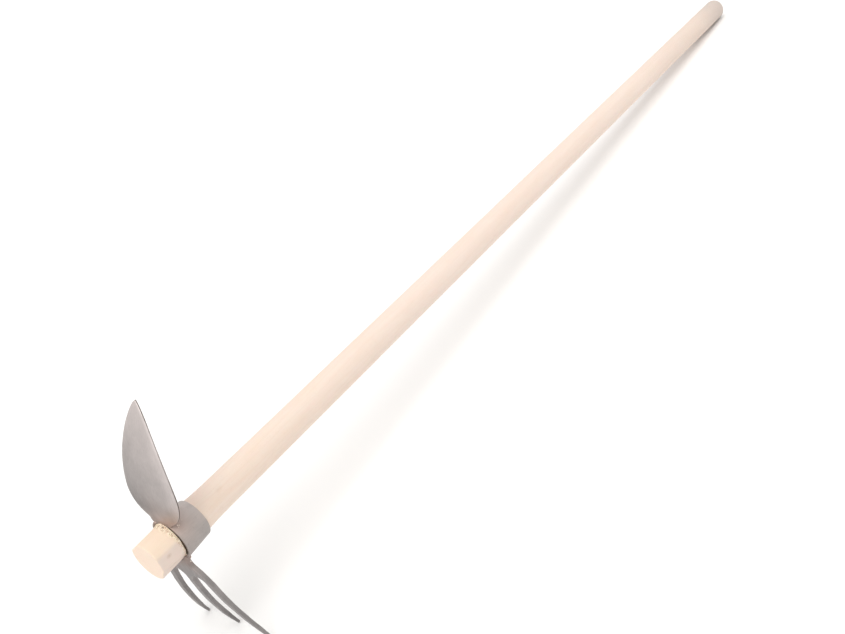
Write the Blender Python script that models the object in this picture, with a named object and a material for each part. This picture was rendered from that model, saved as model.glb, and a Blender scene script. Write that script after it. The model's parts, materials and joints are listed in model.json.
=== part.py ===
"""Combination hoe: a leaf blade and a three-tined fork on one eye, driven on a long ash handle.

The tool is drawn in its own frame. The handle's axis is X, with X = 0 at the rim of the eye where
the sawn stub stands out and +X towards the grip. +Z points to the blade and -Z to the fork.
The last step tilts the whole tool so that it stands on its outer tines and the end of the grip.
Units are metres.
"""

import math

import bmesh
import bpy
from mathutils import Matrix, Vector

MM = 0.001

# Handle: a tapered head end that jams in the eye, then a nearly even shaft
HANDLE_LENGTH = 1197 * MM
STUB_LENGTH = 26.2 * MM
STUB_RADIUS = 18.7 * MM
WOOD_RADIUS_AT_RIM = 18.2 * MM
WOOD_RADIUS_AT_FAR_RIM = 16.4 * MM
SWELL_LENGTH = 50 * MM
SHAFT_HEAD_RADIUS = 15.5 * MM
SHAFT_GRIP_RADIUS = 14.4 * MM
GRIP_DOME_LENGTH = 11 * MM
GRIP_DOME_TURN_DEG = 83
STUB_EDGE_BREAK = 1.2 * MM

# Flats planed on the near side of the stub, and the wood scraped up against the eye
PLANED_FLAT_TURNS_DEG = (3, -38)
PLANED_FLAT_DEPTHS = (1.3 * MM, 1.6 * MM)
FIBRE_RIDGE_HEIGHT = 0.7 * MM
FIBRE_RIDGE_WIDTH = 4.5 * MM
FIBRE_RIDGE_LUMPS = (11, 17)
FIBRE_RIDGE_MEAN_SHARE = 0.7
FIBRE_RIDGE_LUMP_SHARE = 0.15

# Eye: a short conical ring
EYE_LENGTH = 28 * MM
EYE_RIM_WALL = 2.5 * MM
EYE_FAR_WALL = 2.1 * MM
EYE_EDGE_BREAK = 0.5 * MM

# Leaf blade: an oval foot under a pointed leaf, bent back to the grip and pressed hollow
BLADE_REACH = 123.6 * MM
BLADE_HALF_WIDTH = 33.5 * MM
BLADE_WIDEST = 46.6 * MM
BLADE_FOOT_HEIGHT = 30.0 * MM
BLADE_SIDE_POWER = 1.6
BLADE_POINT_POWER = 0.72
BLADE_FOOT_TRIM = 0.01
BLADE_THICKNESS = 2.4 * MM
BLADE_EDGE_THICKNESS = 1.3 * MM
BLADE_BEVEL_WIDTH = 5.0 * MM
BLADE_TIP_BEVEL_SLOPE = 0.6
BLADE_TIP_BEVEL_START = 1.0 * MM
BLADE_SWEEP_RADIUS = 258 * MM
BLADE_SWEEP_START = -1.5 * MM
BLADE_SETBACK = 1.75 * MM
BLADE_DISH = 3.0 * MM

# Fork: one neck that spreads into three tines, bent forward like the blade
TINE_REACH = 120.1 * MM
MIDDLE_TINE_SHORTFALL = 0.9 * MM
TINE_HALF_WIDTH = 3.5 * MM
TINE_POINT_LENGTH = 21 * MM
TINE_POINT_HALF_WIDTH = 0.6 * MM
TINE_POINT_POWER = 1.4
TINE_TIP_SPREAD = 43.9 * MM
TINE_SHOULDER_SPREAD = 26.5 * MM
TINE_SHOULDER_DEPTH = 44.8 * MM
TINE_STRAIGHTEN_DEPTH = 104.8 * MM
TINE_BEND_START = 0.8
TINE_BEND_LENGTH = 0.4
NEAR_CROTCH_DEPTH = 36.5 * MM
FAR_CROTCH_DEPTH = 35.0 * MM
FORK_NECK_HALF_WIDTH = 11.3 * MM
FORK_NECK_DEPTH = 21.8 * MM
FORK_NECK_PULL = (0.12, 0.20)
FORK_SHOULDER_PULL = (0.16, 0.40)
FORK_ROOT_DEPTH = 16 * MM
FORK_THICKNESS = 4.8 * MM
TINE_END_THICKNESS = 3.2 * MM
TINE_POINT_THICKNESS = 1.2 * MM
FORK_EDGE_ROUND = 0.8 * MM
FORK_SWEEP_RADIUS = 250 * MM
FORK_SWEEP_START = 28.8 * MM
FORK_SETBACK = 0.8 * MM

# Fillet welds behind the blade and behind the fork
WELD_LEG = 3.0 * MM
BLADE_WELD_OVERRUN = 0.8 * MM
FORK_WELD_OVERRUN = -2.5 * MM
WELD_RIPPLE = 0.25 * MM
WELD_RIPPLES = 12
WELD_END_SHARE = 0.35
WELD_PROFILE = [(0.0, 0.0), (0.0, 1.0), (0.36, 0.80), (0.66, 0.56), (0.86, 0.30), (1.0, 0.0)]

# Fits
EYE_CLEARANCE = 0.3 * MM
WELD_GAP = 0.3 * MM

# Facets of the round and bent shapes
ROUND_STEPS = 56
RIDGE_STEPS = 4
SWELL_STEPS = 8
SHAFT_STEPS = 10
DOME_STEPS = 7
BLADE_FOOT_STEPS = 14
BLADE_LEAF_STEPS = 20
BLADE_COLUMN_SHARES = [0.0, 0.22, 0.44, 0.62, 0.76, 0.86, 0.93, 1.0]
NECK_STEPS = 9
TINE_STEPS = 18
TINE_STEP_POWER = 0.85
ARCH_STEPS = 10
FORK_SLICES = 26
WELD_RIPPLE_STEPS = 4
SMOOTH_ANGLE_DEG = 35


def clear_scene():
    for obj in list(bpy.data.objects):
        bpy.data.objects.remove(obj, do_unlink=True)


def make_material(name, color, roughness, metallic):
    material = bpy.data.materials.new(name)
    material.use_nodes = True
    shader = material.node_tree.nodes["Principled BSDF"]
    shader.inputs["Base Color"].default_value = (*color, 1.0)
    shader.inputs["Roughness"].default_value = roughness
    shader.inputs["Metallic"].default_value = metallic
    return material


def make_object(name, work, material):
    """Object from a bmesh, smooth shaded with sharp corners."""
    bmesh.ops.recalc_face_normals(work, faces=work.faces)
    mesh = bpy.data.meshes.new(name)
    work.to_mesh(mesh)
    work.free()
    mesh.shade_smooth()
    mesh.set_sharp_from_angle(angle=math.radians(SMOOTH_ANGLE_DEG))
    if material is not None:
        mesh.materials.append(material)
    obj = bpy.data.objects.new(name, mesh)
    bpy.context.collection.objects.link(obj)
    return obj


def loft(sections, closed=False, strip_caps=False):
    """Skin over sections of equal length, with caps at both ends unless the sections close a ring."""
    work = bmesh.new()
    rings = [[work.verts.new(point) for point in section] for section in sections]
    following = rings[1:] + rings[:1] if closed else rings[1:]
    for here, there in zip(rings, following):
        for j in range(len(here)):
            k = (j + 1) % len(here)
            work.faces.new((here[j], here[k], there[k], there[j]))
    if not closed:
        for ring in (rings[0], rings[-1]):
            for corners in cap_strip(ring) if strip_caps else [ring]:
                work.faces.new(corners)
    return work


def cap_strip(ring):
    """Quads across the end of a plate whose front and back rows have the same columns."""
    columns = len(ring) // 2
    return [(ring[i], ring[i + 1], ring[-i - 2], ring[-i - 1]) for i in range(columns - 1)]


def round_section(x, radius_at, steps=ROUND_STEPS):
    """Ring about the X axis that starts on the near side (-Y) and runs towards the blade."""
    ring = []
    for step in range(steps):
        angle = 2 * math.pi * step / steps
        radius = radius_at(angle)
        ring.append((x, -radius * math.cos(angle), radius * math.sin(angle)))
    return ring


def ease(value):
    """Smooth step from 0 to 1."""
    value = min(1.0, max(0.0, value))
    return value * value * (3.0 - 2.0 * value)


def sweep_offset(distance, radius):
    """How far a circular arc has left its tangent."""
    return radius - math.sqrt(radius * radius - distance * distance)


# Handle

def shaft_radius(x):
    """Radius of the turned handle, before the grip's dome and the stub's flats."""
    if x <= 0.0:
        return WOOD_RADIUS_AT_RIM + (STUB_RADIUS - WOOD_RADIUS_AT_RIM) * -x / STUB_LENGTH
    taper_slope = (WOOD_RADIUS_AT_FAR_RIM - WOOD_RADIUS_AT_RIM) / EYE_LENGTH
    if x <= EYE_LENGTH:
        return WOOD_RADIUS_AT_RIM + taper_slope * x
    shaft_start = EYE_LENGTH + SWELL_LENGTH
    grip_end = HANDLE_LENGTH - STUB_LENGTH
    shaft_slope = (SHAFT_GRIP_RADIUS - SHAFT_HEAD_RADIUS) / (grip_end - shaft_start)
    if x >= shaft_start:
        return SHAFT_HEAD_RADIUS + shaft_slope * (x - shaft_start)
    t = (x - EYE_LENGTH) / SWELL_LENGTH
    start_weight = 2 * t ** 3 - 3 * t ** 2 + 1
    start_pull = (t ** 3 - 2 * t ** 2 + t) * SWELL_LENGTH
    end_weight = 3 * t ** 2 - 2 * t ** 3
    end_pull = (t ** 3 - t ** 2) * SWELL_LENGTH
    return (start_weight * WOOD_RADIUS_AT_FAR_RIM + start_pull * taper_slope
            + end_weight * SHAFT_HEAD_RADIUS + end_pull * shaft_slope)


def ridge_height(x, angle):
    """Scraped-up fibres: a lumpy ring that ends just short of the eye's rim."""
    along = (x + EYE_CLEARANCE + FIBRE_RIDGE_WIDTH) / FIBRE_RIDGE_WIDTH
    if not 0.0 < along <= 1.0:
        return 0.0
    lumps = math.sin(FIBRE_RIDGE_LUMPS[0] * angle) + math.cos(FIBRE_RIDGE_LUMPS[1] * angle)
    return FIBRE_RIDGE_HEIGHT * along ** 2 * (FIBRE_RIDGE_MEAN_SHARE + FIBRE_RIDGE_LUMP_SHARE * lumps)


def handle_radius(x, angle):
    """Angle runs round the handle from the near side (-Y) towards the blade."""
    radius = shaft_radius(x)
    if x < 0.0:
        for turn, depth in zip(PLANED_FLAT_TURNS_DEG, PLANED_FLAT_DEPTHS):
            facing = math.cos(angle - math.radians(turn))
            if facing > 0.0:
                radius = min(radius, (STUB_RADIUS - depth) / facing)
        radius += ridge_height(x, angle)
    return radius


def handle_stations():
    """X positions of the handle's rings, closer where its shape changes."""
    first = -STUB_LENGTH + STUB_EDGE_BREAK
    ridge_start = -EYE_CLEARANCE - FIBRE_RIDGE_WIDTH
    ridge = [ridge_start + FIBRE_RIDGE_WIDTH * step / RIDGE_STEPS for step in range(RIDGE_STEPS + 1)]
    swell = [EYE_LENGTH + SWELL_LENGTH * step / SWELL_STEPS for step in range(SWELL_STEPS + 1)]
    dome_start = HANDLE_LENGTH - STUB_LENGTH - GRIP_DOME_LENGTH
    shaft_run = dome_start - swell[-1]
    shaft = [swell[-1] + shaft_run * step / SHAFT_STEPS for step in range(1, SHAFT_STEPS + 1)]
    return [first, 0.5 * (first + ridge_start)] + ridge + [0.0] + swell + shaft


def build_handle(material):
    stations = handle_stations()
    first, dome_start = stations[0], stations[-1]
    sections = [round_section(-STUB_LENGTH, lambda angle: handle_radius(first, angle) - STUB_EDGE_BREAK)]
    for x in stations:
        sections.append(round_section(x, lambda angle: handle_radius(x, angle)))
    for step in range(1, DOME_STEPS + 1):
        turn = math.radians(GRIP_DOME_TURN_DEG) * step / DOME_STEPS
        radius = shaft_radius(dome_start) * math.cos(turn)
        sections.append(round_section(dome_start + GRIP_DOME_LENGTH * math.sin(turn), lambda angle: radius))
    return make_object("handle", loft(sections), material)


# Eye

def eye_inner_radius(x):
    return shaft_radius(x) + EYE_CLEARANCE


def eye_outer_radius(x):
    wall = EYE_RIM_WALL + (EYE_FAR_WALL - EYE_RIM_WALL) * x / EYE_LENGTH
    return eye_inner_radius(x) + wall


def build_eye(material):
    edge = EYE_EDGE_BREAK
    profile = [
        (0.0, eye_inner_radius(0.0)),
        (0.0, eye_outer_radius(0.0) - edge),
        (edge, eye_outer_radius(edge)),
        (EYE_LENGTH - edge, eye_outer_radius(EYE_LENGTH - edge)),
        (EYE_LENGTH, eye_outer_radius(EYE_LENGTH) - edge),
        (EYE_LENGTH, eye_inner_radius(EYE_LENGTH)),
    ]
    sections = []
    for step in range(ROUND_STEPS):
        angle = 2 * math.pi * step / ROUND_STEPS
        sections.append([(x, -r * math.cos(angle), r * math.sin(angle)) for x, r in profile])
    return make_object("eye_collar", loft(sections, closed=True), material)


def build_eye_cutter():
    """Cone that trims the roots of the blade and the fork to the outside of the eye."""
    reach = 4
    taper = eye_outer_radius(EYE_LENGTH) - eye_outer_radius(0.0)
    sections = []
    for share in (-reach, reach):
        radius = eye_outer_radius(0.0) + taper * share + EYE_CLEARANCE
        sections.append(round_section(share * EYE_LENGTH, lambda angle: radius, 2 * ROUND_STEPS))
    cutter = make_object("eye_cutter", loft(sections), None)
    cutter.hide_render = True
    cutter.display_type = "WIRE"
    return cutter


def trim_to_eye(obj, cutter):
    trim = obj.modifiers.new("trim_to_eye", "BOOLEAN")
    trim.operation = "DIFFERENCE"
    trim.object = cutter


# Leaf blade

def blade_half_width(z):
    """Oval foot below the widest point, and a leaf that runs to a point above it."""
    if z <= BLADE_WIDEST:
        drop = (BLADE_WIDEST - z) / BLADE_FOOT_HEIGHT
        return BLADE_HALF_WIDTH * math.sqrt(max(0.0, 1.0 - drop * drop))
    rise = min(1.0, (z - BLADE_WIDEST) / (BLADE_REACH - BLADE_WIDEST))
    return BLADE_HALF_WIDTH * (1.0 - rise ** BLADE_SIDE_POWER) ** BLADE_POINT_POWER


def blade_middle_x(y, z):
    """Middle surface: an arc that leans to the grip, hollow on the side of the grip."""
    lean = BLADE_SETBACK + sweep_offset(z - BLADE_SWEEP_START, BLADE_SWEEP_RADIUS)
    half = blade_half_width(z)
    return lean - BLADE_DISH * (half * half - y * y) / (BLADE_HALF_WIDTH ** 2)


def blade_thickness(y, z):
    """Full thickness in the middle, ground thinner towards the edge."""
    inset = blade_half_width(z) - abs(y)
    inset = min(inset, BLADE_TIP_BEVEL_START + BLADE_TIP_BEVEL_SLOPE * (BLADE_REACH - z))
    share = ease(inset / BLADE_BEVEL_WIDTH)
    return BLADE_EDGE_THICKNESS + (BLADE_THICKNESS - BLADE_EDGE_THICKNESS) * share


def blade_foot():
    """Height of the lowest row, a hair above the bottom of the oval and inside the eye."""
    return BLADE_WIDEST - BLADE_FOOT_HEIGHT * (1.0 - BLADE_FOOT_TRIM)


def blade_rows():
    """Heights of the blade's rows, from inside the eye to just short of the point."""
    rows = [blade_foot()]
    for step in range(1, BLADE_FOOT_STEPS + 1):
        turn = 0.5 * math.pi * step / BLADE_FOOT_STEPS
        rows.append(max(rows[0], BLADE_WIDEST - BLADE_FOOT_HEIGHT * math.cos(turn)))
    for step in range(1, BLADE_LEAF_STEPS):
        turn = 0.5 * math.pi * step / BLADE_LEAF_STEPS
        rows.append(BLADE_WIDEST + (BLADE_REACH - BLADE_WIDEST) * math.sin(turn))
    return sorted(set(rows))


def blade_root_half_width():
    """Half width of the foot where it meets the outside of the eye."""
    eye_radius = eye_outer_radius(BLADE_SETBACK)
    low, high = BLADE_WIDEST - BLADE_FOOT_HEIGHT, eye_radius
    for _ in range(40):
        z = 0.5 * (low + high)
        if math.hypot(blade_half_width(z), z) < eye_radius:
            low = z
        else:
            high = z
    return blade_half_width(z)


def build_blade(material, cutter):
    shares = [-share for share in reversed(BLADE_COLUMN_SHARES[1:])] + BLADE_COLUMN_SHARES
    sections = []
    for z in blade_rows():
        front, back = [], []
        for share in shares:
            y = share * blade_half_width(z)
            x = blade_middle_x(y, z)
            depth = 0.5 * blade_thickness(y, z)
            front.append((x - depth, y, z))
            back.append((x + depth, y, z))
        sections.append(front + back[::-1])
    blade = make_object("leaf_blade", loft(sections, strip_caps=True), material)
    trim_to_eye(blade, cutter)
    return blade


# Fork

def bezier(a, b, c, d, steps):
    points = []
    for step in range(steps + 1):
        t = step / steps
        s = 1.0 - t
        points.append(tuple(s ** 3 * a[i] + 3 * s * s * t * b[i] + 3 * s * t * t * c[i] + t ** 3 * d[i]
                            for i in range(2)))
    return points


def outer_tine_spread(depth):
    """Distance of an outer tine's centre line from the middle of the fork."""
    run = (depth - TINE_SHOULDER_DEPTH) / (TINE_STRAIGHTEN_DEPTH - TINE_SHOULDER_DEPTH)
    if run > TINE_BEND_START:
        past = min(1.0, (run - TINE_BEND_START) / TINE_BEND_LENGTH)
        run = TINE_BEND_START + TINE_BEND_LENGTH * (past - 0.5 * past * past)
    return TINE_SHOULDER_SPREAD + (TINE_TIP_SPREAD - TINE_SHOULDER_SPREAD) * run


def tine_half_width(depth, reach):
    """Even along the tine, then drawn down to a rounded point."""
    run = min(1.0, max(0.0, (reach - depth) / TINE_POINT_LENGTH))
    share = math.sin(0.5 * math.pi * run) ** TINE_POINT_POWER
    return TINE_POINT_HALF_WIDTH + (TINE_HALF_WIDTH - TINE_POINT_HALF_WIDTH) * share


def tine_depths(reach):
    """Depths down a tine below its shoulder, closer towards its point."""
    length = reach - TINE_SHOULDER_DEPTH
    return [TINE_SHOULDER_DEPTH + length * (step / TINE_STEPS) ** TINE_STEP_POWER
            for step in range(1, TINE_STEPS + 1)]


def half_fork_outline(crotch_depth):
    """Outline of one half as (spread, depth), from the neck round to the tip of the middle tine."""
    neck_end = (FORK_NECK_HALF_WIDTH, FORK_NECK_DEPTH)
    shoulder = (TINE_SHOULDER_SPREAD + TINE_HALF_WIDTH, TINE_SHOULDER_DEPTH)
    run = (shoulder[0] - neck_end[0], shoulder[1] - neck_end[1])
    neck_pull = tuple(neck_end[i] + FORK_NECK_PULL[i] * run[i] for i in range(2))
    shoulder_pull = tuple(shoulder[i] - FORK_SHOULDER_PULL[i] * run[i] for i in range(2))
    outline = [(FORK_NECK_HALF_WIDTH, FORK_ROOT_DEPTH)]
    outline += bezier(neck_end, neck_pull, shoulder_pull, shoulder, NECK_STEPS)
    down = tine_depths(TINE_REACH)
    outline += [(outer_tine_spread(z) + tine_half_width(z, TINE_REACH), z) for z in down]
    outline += [(outer_tine_spread(z) - tine_half_width(z, TINE_REACH), z) for z in reversed(down)]
    arch_half = 0.5 * TINE_SHOULDER_SPREAD - TINE_HALF_WIDTH
    for step in range(ARCH_STEPS + 1):
        turn = math.pi * step / ARCH_STEPS
        spread = 0.5 * TINE_SHOULDER_SPREAD + arch_half * math.cos(turn)
        outline.append((spread, TINE_SHOULDER_DEPTH - (TINE_SHOULDER_DEPTH - crotch_depth) * math.sin(turn)))
    middle_reach = TINE_REACH - MIDDLE_TINE_SHORTFALL
    outline += [(tine_half_width(z, middle_reach), z) for z in tine_depths(middle_reach)]
    return outline


def fork_body_thickness(depth):
    """Forged thickness, before the tines are drawn down to their points."""
    share = max(0.0, (depth - NEAR_CROTCH_DEPTH) / (TINE_REACH - NEAR_CROTCH_DEPTH))
    return FORK_THICKNESS + (TINE_END_THICKNESS - FORK_THICKNESS) * share


def fork_front_x(depth):
    """Front face: an arc that leans to the grip as it goes down."""
    middle = sweep_offset(depth - FORK_SWEEP_START, FORK_SWEEP_RADIUS) - FORK_SETBACK
    return middle - 0.5 * fork_body_thickness(depth)


def fork_back_x(depth):
    """Back face, which runs to the front face at the points."""
    run = ease(min(1.0, (TINE_REACH - depth) / TINE_POINT_LENGTH))
    thickness = TINE_POINT_THICKNESS + (fork_body_thickness(depth) - TINE_POINT_THICKNESS) * run
    return fork_front_x(depth) + thickness


def build_fork(material, cutter):
    """Flat outline, raised to a plate, sliced across and then bent and thinned slice by slice."""
    far_half = half_fork_outline(FAR_CROTCH_DEPTH)
    near_half = half_fork_outline(NEAR_CROTCH_DEPTH)
    outline = far_half + [(-y, z) for y, z in reversed(near_half)]
    work = bmesh.new()
    face = work.faces.new([work.verts.new((0.0, y, -z)) for y, z in outline])
    raised = bmesh.ops.extrude_face_region(work, geom=[face])
    back_verts = [item for item in raised["geom"] if isinstance(item, bmesh.types.BMVert)]
    bmesh.ops.translate(work, verts=back_verts, vec=(1.0, 0.0, 0.0))
    for step in range(1, FORK_SLICES):
        level = -(FORK_ROOT_DEPTH + (TINE_REACH - FORK_ROOT_DEPTH) * step / FORK_SLICES)
        geometry = list(work.verts) + list(work.edges) + list(work.faces)
        bmesh.ops.bisect_plane(work, geom=geometry, dist=1e-6, plane_co=(0, 0, level), plane_no=(0, 0, 1))
    for vert in work.verts:
        place = fork_back_x if vert.co.x > 0.5 else fork_front_x
        vert.co.x = place(-vert.co.z)
    fork = make_object("tine_fork", work, material)
    rounding = fork.modifiers.new("round_edges", "BEVEL")
    rounding.width = FORK_EDGE_ROUND
    rounding.segments = 2
    rounding.limit_method = "ANGLE"
    rounding.angle_limit = math.radians(50)
    trim_to_eye(fork, cutter)
    return fork


# Welds

def weld_section(angle, back_x, growth, side):
    """Rounded triangle in the corner between the eye and the back of a plate."""
    leg = WELD_LEG * growth
    base = eye_outer_radius(back_x) + WELD_GAP
    start = back_x + WELD_GAP
    section = []
    for along, out in WELD_PROFILE:
        x = start + leg * along
        radius = base + leg * out + (eye_outer_radius(x) - eye_outer_radius(back_x)) * (1.0 - out)
        section.append((x, radius * math.sin(angle), side * radius * math.cos(angle)))
    return section


def build_weld(name, material, half_width, back_of_plate, side):
    """Bead along the back of a plate's root, rippled, and drawn down at both ends."""
    end_angle = math.asin(half_width / eye_outer_radius(0.0))
    steps = WELD_RIPPLE_STEPS * WELD_RIPPLES
    sections = []
    for step in range(steps + 1):
        share = -1.0 + 2.0 * step / steps
        angle = end_angle * share
        wave = math.cos(2 * math.pi * step / WELD_RIPPLE_STEPS)
        ripple = 1.0 - WELD_RIPPLE / WELD_LEG * (1.0 + wave)
        ends = WELD_END_SHARE + (1.0 - WELD_END_SHARE) * math.sqrt(1.0 - share ** 6)
        radius = eye_outer_radius(0.0) + WELD_LEG
        back_x = back_of_plate(radius * math.sin(angle), radius * math.cos(angle))
        sections.append(weld_section(angle, back_x, ripple * ends, side))
    return make_object(name, loft(sections), material)


def blade_back(y, z):
    return blade_middle_x(y, max(z, blade_foot())) + 0.5 * BLADE_THICKNESS


def fork_back(y, depth):
    return fork_back_x(depth)


# Standing pose

def lowest(points, tilt):
    """Lowest height of (x, z) points once the grip is tilted down."""
    return min(z * math.cos(tilt) - x * math.sin(tilt) for x, z in points)


def profile_points(obj):
    evaluated = obj.evaluated_get(bpy.context.evaluated_depsgraph_get())
    mesh = evaluated.to_mesh()
    points = [(vert.co.x, vert.co.z) for vert in mesh.vertices]
    evaluated.to_mesh_clear()
    return points


def stand(pieces, handle, fork):
    """Tilts the tool until the tines and the grip touch one level, and centres it on the origin."""
    handle_points = [point for point in profile_points(handle) if point[0] > 0.5 * HANDLE_LENGTH]
    fork_points = profile_points(fork)
    low, high = 0.0, math.radians(30)
    for _ in range(50):
        tilt = 0.5 * (low + high)
        if lowest(handle_points, tilt) > lowest(fork_points, tilt):
            low = tilt
        else:
            high = tilt
    turn = Matrix.Rotation(tilt, 4, "Y")
    span = []
    for piece in pieces:
        for x, z in profile_points(piece):
            span.append((turn @ Vector((x, 0.0, z))).x)
    stance = bpy.data.objects.new("stance", None)
    bpy.context.collection.objects.link(stance)
    stance.rotation_euler = (0.0, tilt, 0.0)
    stance.location = (-0.5 * (min(span) + max(span)), 0.0, -lowest(fork_points, tilt))
    return stance


def main():
    clear_scene()
    wood = make_material("ash_wood", (0.86, 0.69, 0.54), 0.6, 0.0)
    collar_steel = make_material("eye_steel", (0.36, 0.34, 0.33), 0.42, 0.9)
    blade_steel = make_material("blade_steel", (0.50, 0.47, 0.46), 0.35, 0.9)
    fork_steel = make_material("fork_steel", (0.28, 0.27, 0.26), 0.45, 0.9)
    weld_steel = make_material("weld_steel", (0.33, 0.30, 0.28), 0.5, 0.9)
    cutter = build_eye_cutter()
    handle = build_handle(wood)
    eye = build_eye(collar_steel)
    blade = build_blade(blade_steel, cutter)
    fork = build_fork(fork_steel, cutter)
    welds = [
        build_weld("blade_weld", weld_steel, blade_root_half_width() + BLADE_WELD_OVERRUN, blade_back, 1),
        build_weld("fork_weld", weld_steel, FORK_NECK_HALF_WIDTH + FORK_WELD_OVERRUN, fork_back, -1),
    ]
    pieces = [handle, eye, blade, fork] + welds
    stance = stand(pieces, handle, fork)
    for obj in pieces + [cutter]:
        obj.parent = stance


main()
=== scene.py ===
"""Looks of the combination hoe: finer shapes of its pieces, wood, steel, soft light and the camera.

Pieces are drawn in the tool's own frame, as in the part's source: the handle's axis is X, with X = 0
at the rim of the eye and +X towards the grip, and +Z points to the blade. PLACE carries that frame to
the row frame, from the sawn end that the record gives. Lengths are in metres unless a comment gives
millimetres.
"""

import json
import math
import random

import bmesh
import bpy
import numpy as np
from mathutils import Matrix, Vector


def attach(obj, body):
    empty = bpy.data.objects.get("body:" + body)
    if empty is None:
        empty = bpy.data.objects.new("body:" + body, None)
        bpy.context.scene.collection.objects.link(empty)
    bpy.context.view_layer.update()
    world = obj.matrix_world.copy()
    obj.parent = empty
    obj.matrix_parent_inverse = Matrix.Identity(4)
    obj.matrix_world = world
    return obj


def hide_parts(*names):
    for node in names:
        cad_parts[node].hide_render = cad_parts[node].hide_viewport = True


MM = 0.001

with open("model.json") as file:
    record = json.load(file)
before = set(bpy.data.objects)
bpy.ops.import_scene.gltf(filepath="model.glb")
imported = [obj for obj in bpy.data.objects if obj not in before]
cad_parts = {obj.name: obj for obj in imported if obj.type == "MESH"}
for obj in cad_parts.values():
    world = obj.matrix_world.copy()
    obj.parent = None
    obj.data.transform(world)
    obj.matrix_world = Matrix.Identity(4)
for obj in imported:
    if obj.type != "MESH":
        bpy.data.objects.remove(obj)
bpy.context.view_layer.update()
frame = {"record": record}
mount = frame["record"]["mounts"][0]
MOUNT_AXIS = Vector(mount["axis"])
STUB_LENGTH = 26.2 * MM
TILT = math.atan2(MOUNT_AXIS.z, -MOUNT_AXIS.x)
ORIGIN = Vector(mount["pos_m"]) - MOUNT_AXIS * STUB_LENGTH
PLACE = Matrix.Translation(ORIGIN) @ Matrix.Rotation(TILT, 4, "Y")

# Handle
HANDLE_LENGTH = 1197 * MM
STUB_RADIUS = 18.7 * MM
WOOD_RADIUS_AT_RIM = 18.2 * MM
WOOD_RADIUS_AT_FAR_RIM = 16.4 * MM
SWELL_LENGTH = 50 * MM
SHAFT_HEAD_RADIUS = 15.5 * MM
SHAFT_GRIP_RADIUS = 14.4 * MM
GRIP_DOME_LENGTH = 11 * MM
STUB_EDGE_ROUND = 1.0 * MM
# Both ends. The sawn one is short enough for its sharp lower edge to stay inside the CAD box
SAWN_END = 0.05 * MM - STUB_LENGTH
GRIP_END = HANDLE_LENGTH - STUB_LENGTH
# Planed flats of the stub: direction in degrees, depth at the rim and depth at the sawn end
PLANED_FLATS = ((3, 1.3 * MM, 1.3 * MM), (-38, 1.6 * MM, 1.6 * MM), (125, 1.7 * MM, 2.2 * MM))
FLAT_EDGE_ROUND = 0.25 * MM
FLAT_UNEVENNESS = 0.1 * MM
SHAFT_UNEVENNESS = 0.06 * MM
SAWN_HOLLOW = 0.1 * MM
HANDLE_SEGMENTS = 256

# Torn wood against the rim: angles round the stub in degrees, widths and heights in millimetres
TORN_ANGLES = [-180, -120, -60, -20, 0, 25, 47, 75, 103, 130, 160, 180]
TORN_WIDTHS = [2.5, 2.0, 1.0, 1.5, 2.2, 3.0, 4.6, 5.4, 4.8, 3.6, 3.0, 2.5]
TORN_HEIGHTS = [0.5, 0.4, 0.3, 0.35, 0.5, 0.7, 0.9, 0.95, 1.0, 0.7, 0.6, 0.5]
# Dark gap against the rim: angles in degrees and widths in millimetres
GAP_ANGLES = [-180, -46, -38, -25, 0, 30, 60, 80, 100, 150, 180]
GAP_WIDTHS = [0.0, 0.0, 0.4, 0.95, 0.85, 0.6, 0.4, 0.2, 0.1, 0.0, 0.0]
GAP_RADIUS = 17.5 * MM
TORN_RADIUS = 18 * MM
FIBRE_COUNT = 80
FIBRE_STEPS = 6
# Pit torn out beside the rim: place, size and depth
PIT_X = -2.3 * MM
PIT_RADIUS = 18.4 * MM
PIT_DEGREES = 76.5
PIT_SIZE = 0.9 * MM
PIT_DEPTH = 0.7 * MM

# Eye
EYE_LENGTH = 28 * MM
EYE_RIM_WALL = 2.5 * MM
EYE_FAR_WALL = 2.1 * MM
EYE_CLEARANCE = 0.3 * MM
EYE_RIM_RADIUS = WOOD_RADIUS_AT_RIM + EYE_CLEARANCE + EYE_RIM_WALL
EYE_RIM_ROUND = 0.35 * MM
EYE_FAR_ROUND = 0.7 * MM
EYE_SEGMENTS = 288

# Blade
BLADE_REACH = 123.6 * MM
BLADE_HALF_WIDTH = 33.5 * MM
BLADE_WIDEST = 46.6 * MM
BLADE_FOOT_HEIGHT = 30.0 * MM
BLADE_SIDE_POWER = 1.6
BLADE_POINT_POWER = 0.75
BLADE_THICKNESS = 2.4 * MM
BLADE_EDGE_THICKNESS = 1.3 * MM
BLADE_BEVEL_WIDTH = 5.0 * MM
BLADE_SWEEP_RADIUS = 258 * MM
BLADE_SWEEP_START = -1.5 * MM
BLADE_SETBACK = 1.75 * MM
BLADE_DISH = 3.0 * MM
ROOT_RADIUS = 18.75 * MM
FLUSH_FRONT = -0.15 * MM
BLADE_TIP_SHORTFALL = 0.6 * MM
BLADE_NEAR_TRIM = 1.1 * MM
BLADE_FOOT_TRIM = 0.9 * MM
BLADE_TIP_ROUND = 1.6 * MM
# Distances from the edge at which the leaf has points
BLADE_BAND = np.array([0.0, 0.03, 0.09, 0.18, 0.32, 0.55, 0.9, 1.4, 2.1, 2.9, 3.8, 5.0]) * MM

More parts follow.
